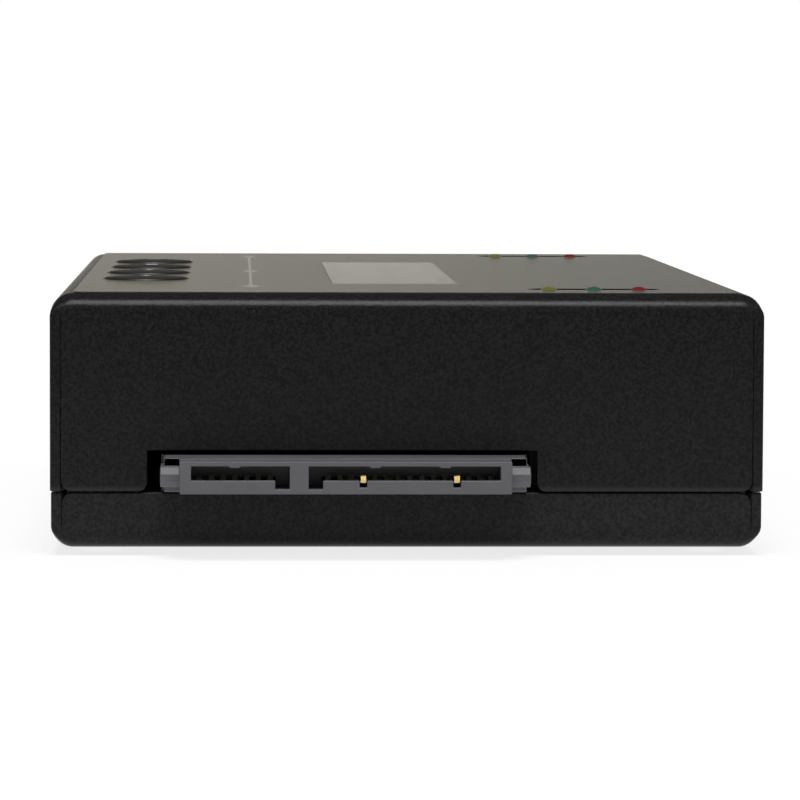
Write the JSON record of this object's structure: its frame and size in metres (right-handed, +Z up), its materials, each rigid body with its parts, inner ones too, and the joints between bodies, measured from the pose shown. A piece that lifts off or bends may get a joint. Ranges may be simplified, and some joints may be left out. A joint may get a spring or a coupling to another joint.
{
  "type": "drive duplicator",
  "caption": "Pocket-size stand-alone drive duplicator: flat black steel box with a keyed drive receptacle on each end, display, round push buttons and status lamps on top.",
  "frame": {"origin": "middle of the case on the surface that its feet stand on", "axes": "+Z up through the control face; +Y from the front port to the rear port; +X to the right seen from the front port"},
  "size_m": [0.0793, 0.1346, 0.0293],
  "materials": {
    "case_steel": "fine black powder coat",
    "foot_rubber": "moulded",
    "overlay_film": "semi-gloss printed film",
    "display_lens": "clear lens over a grey display",
    "bezel_steel": "satin black",
    "display_glass": "clear",
    "backlight_plastic": "diffusing white",
    "board_laminate": "solder resist",
    "plated_steel": "zinc plated",
    "spacer_brass": "plain",
    "port_plastic": "moulded grey",
    "contact_gold": "gold plated",
    "lamp_yellow": "tinted clear",
    "lamp_green": "tinted clear",
    "lamp_red": "tinted clear",
    "black_plastic": "moulded black",
    "button_plastic": "moulded black",
    "chip_epoxy": "moulded epoxy",
    "sink_aluminium": "black anodised",
    "can_metal": "bright can",
    "ferrite": "ferrite"
  },
  "bodies": {
    "housing": {"top_cover": "case_steel", "bottom_tray": "case_steel", "rubber_feet": "foot_rubber", "board_spacers": "spacer_brass", "cover_pillars": "plated_steel", "case_screws": "plated_steel", "main_board": "board_laminate", "graphic_overlay": "overlay_film", "display_window": "display_lens", "display_bezel": "bezel_steel", "display_glass": "display_glass", "display_backlight": "backlight_plastic", "display_board": "board_laminate", "display_standoffs": "plated_steel", "display_screws": "plated_steel", "display_socket": "black_plastic", "display_header": "black_plastic", "button_switches": "black_plastic", "button_board": "board_laminate", "button_standoffs": "plated_steel", "button_screws": "plated_steel", "button_socket": "black_plastic", "button_header": "black_plastic", "power_jack_housing": "black_plastic", "power_jack_pin": "plated_steel", "power_jack_spring": "plated_steel", "power_switch_frame": "plated_steel", "power_switch_base": "black_plastic", "controller_chip": "chip_epoxy", "heat_sink": "sink_aluminium", "memory_chip": "chip_epoxy", "crystal": "can_metal", "inductor": "ferrite", "voltage_regulator": "chip_epoxy", "filter_capacitors": "can_metal", "buzzer": "black_plastic", "front_lamp_yellow": "lamp_yellow", "front_lamp_green": "lamp_green", "front_lamp_red": "lamp_red", "front_lamp_spacer": "black_plastic", "front_port_housing": "port_plastic", "front_signal_contacts": "contact_gold", "front_power_contacts": "contact_gold", "rear_lamp_yellow": "lamp_yellow", "rear_lamp_green": "lamp_green", "rear_lamp_red": "lamp_red", "rear_lamp_spacer": "black_plastic", "rear_port_housing": "port_plastic", "rear_signal_contacts": "contact_gold", "rear_power_contacts": "contact_gold"},
    "button_1": {"button_cap_1": "button_plastic", "switch_plunger_1": "black_plastic"},
    "button_2": {"button_cap_2": "button_plastic", "switch_plunger_2": "black_plastic"},
    "button_3": {"button_cap_3": "button_plastic", "switch_plunger_3": "black_plastic"},
    "button_4": {"button_cap_4": "button_plastic", "switch_plunger_4": "black_plastic"},
    "power_switch": {"power_switch_knob": "black_plastic"}
  },
  "joints": [
    {"name": "button_1_press", "type": "slide", "parent": "housing", "child": "button_1", "axis": [0, 0, -1], "range_m": [0, 0.0003], "stiffness_N_per_m": 2000, "springref_m": -0.0003},
    {"name": "button_2_press", "type": "slide", "parent": "housing", "child": "button_2", "axis": [0, 0, -1], "range_m": [0, 0.0003], "stiffness_N_per_m": 2000, "springref_m": -0.0003},
    {"name": "button_3_press", "type": "slide", "parent": "housing", "child": "button_3", "axis": [0, 0, -1], "range_m": [0, 0.0003], "stiffness_N_per_m": 2000, "springref_m": -0.0003},
    {"name": "button_4_press", "type": "slide", "parent": "housing", "child": "button_4", "axis": [0, 0, -1], "range_m": [0, 0.0003], "stiffness_N_per_m": 2000, "springref_m": -0.0003},
    {"name": "power_switch_slide", "type": "slide", "parent": "housing", "child": "power_switch", "axis": [0, 1, 0], "range_m": [0, 0.0022]}
  ]
}
